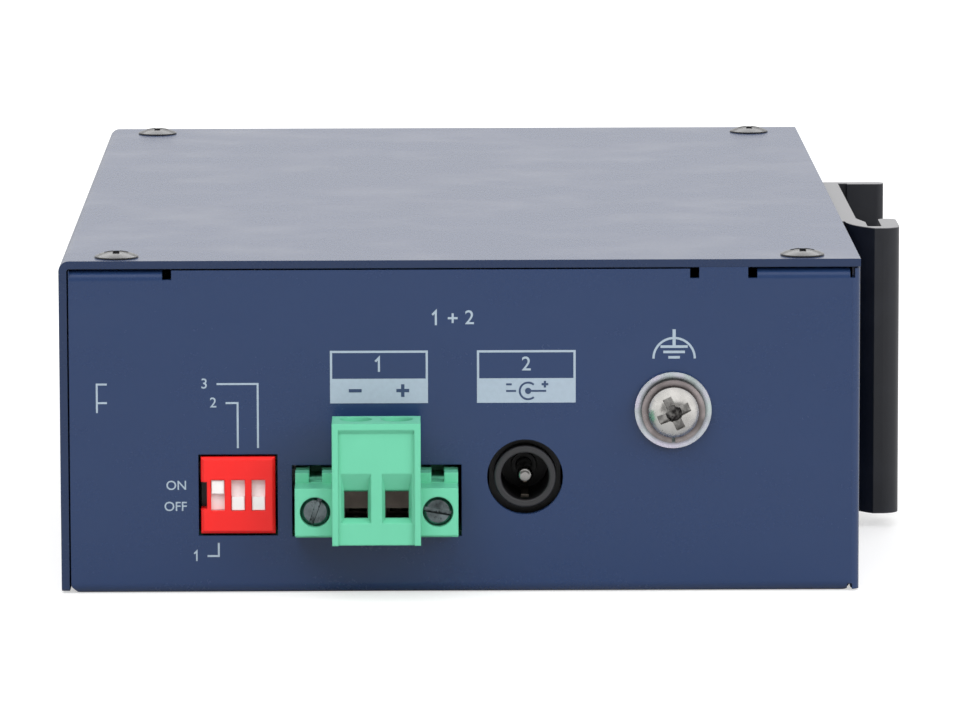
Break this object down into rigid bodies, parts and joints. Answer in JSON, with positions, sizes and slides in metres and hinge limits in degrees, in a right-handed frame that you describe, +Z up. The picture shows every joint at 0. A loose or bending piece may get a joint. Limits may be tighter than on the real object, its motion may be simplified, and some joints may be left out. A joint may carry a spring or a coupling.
{
  "type": "din rail ethernet switch",
  "caption": "Flat folded-sheet network switch with a pluggable screw terminal, round power jack, small slide switches and earth screw on one end and a rail clip on one side.",
  "frame": {"origin": "centre of the case's underside", "axes": "+Z up through the cover, -Y out of the power panel, -X out of the port wall, +X out of the rail wall towards the rail"},
  "size_m": [0.1102, 0.1598, 0.0428],
  "materials": {
    "case_paint": "satin navy powder coat",
    "screw_steel": "zinc plated",
    "screw_black": "black zinc",
    "ground_nickel": "nickel plated",
    "board_laminate": "solder mask",
    "part_black": "moulded",
    "sink_black": "black anodised",
    "can_aluminium": "drawn can",
    "jack_plastic": "moulded",
    "shield_steel": "tin plated",
    "contact_gold": "gold plated",
    "contact_tin": "tin plated",
    "clear_pipe": "clear moulding",
    "lamp_white": "moulded",
    "button_grey": "moulded",
    "dip_red": "moulded",
    "slider_white": "moulded",
    "terminal_green": "moulded",
    "clip_black": "black anodised extrusion",
    "spring_steel": "stainless spring strip"
  },
  "bodies": {
    "case": {"base_tray": "case_paint", "top_cover": "case_paint", "cover_screws": "screw_black", "board_screws": "screw_steel", "clip_screws": "screw_steel", "header_nuts": "screw_steel", "clip_nuts": "screw_steel", "plug_locking_screws": "screw_steel", "board_standoffs": "screw_steel", "ground_screw": "ground_nickel", "ground_split_washer": "ground_nickel", "ground_flat_washer": "ground_nickel", "ground_nut": "ground_nickel", "circuit_board": "board_laminate", "switch_chip": "part_black", "port_transformers": "part_black", "power_inductors": "part_black", "heatsink": "sink_black", "power_capacitors": "can_aluminium", "port_bank_housing": "jack_plastic", "uplink_housing": "jack_plastic", "fibre_connector": "jack_plastic", "reset_switch": "jack_plastic", "dc_jack_body": "jack_plastic", "dip_base": "jack_plastic", "port_bank_shield": "shield_steel", "uplink_shield": "shield_steel", "fibre_cage": "shield_steel", "port_bank_contacts": "contact_gold", "uplink_contacts": "contact_gold", "plug_contacts": "contact_tin", "header_pins": "contact_tin", "dip_legs": "contact_tin", "dc_jack_pin": "contact_tin", "dc_jack_spring": "contact_tin", "light_pipes": "clear_pipe", "status_lamps": "lamp_white", "dip_cover": "dip_red", "terminal_header": "terminal_green", "plug_housing": "terminal_green", "rail_clip": "clip_black", "rail_catch": "spring_steel"},
    "slider_one": {"dip_slider_1": "slider_white"},
    "slider_two": {"dip_slider_2": "slider_white"},
    "slider_three": {"dip_slider_3": "slider_white"},
    "cage_left": {"clamp_cage_left": "screw_steel"},
    "cage_right": {"clamp_cage_right": "screw_steel"},
    "screw_left": {"clamp_screw_left": "screw_steel"},
    "screw_right": {"clamp_screw_right": "screw_steel"},
    "reset": {"reset_button": "button_grey"}
  },
  "joints": [
    {"name": "slider_one_slide", "type": "slide", "parent": "case", "child": "slider_one", "axis": [0, 0, 1], "range_m": [-0.0021, 0]},
    {"name": "slider_two_slide", "type": "slide", "parent": "case", "child": "slider_two", "axis": [0, 0, 1], "range_m": [0, 0.0021]},
    {"name": "slider_three_slide", "type": "slide", "parent": "case", "child": "slider_three", "axis": [0, 0, 1], "range_m": [0, 0.0021]},
    {"name": "clamp_left_turn", "type": "hinge", "parent": "case", "child": "screw_left", "pos_m": [-0.01299, -0.08085, 0.016], "axis": [0, 0, 1], "range_deg": [-905, 725]},
    {"name": "clamp_left_rise", "type": "slide", "parent": "case", "child": "cage_left", "axis": [0, 0, 1], "range_m": [-0.001, 0.00125]},
    {"name": "clamp_right_turn", "type": "hinge", "parent": "case", "child": "screw_right", "pos_m": [-0.00791, -0.08085, 0.016], "axis": [0, 0, 1], "range_deg": [-905, 725]},
    {"name": "clamp_right_rise", "type": "slide", "parent": "case", "child": "cage_right", "axis": [0, 0, 1], "range_m": [-0.001, 0.00125]},
    {"name": "reset_press", "type": "slide", "parent": "case", "child": "reset", "axis": [1, 0, 0], "range_m": [0, 0.0005], "stiffness_N_per_m": 400, "springref_m": -0.0005}
  ],
  "couplings": [
    {"joint": "clamp_left_turn", "follows": "clamp_left_rise", "rad_per_m": -12566},
    {"joint": "clamp_right_turn", "follows": "clamp_right_rise", "rad_per_m": -12566}
  ]
}
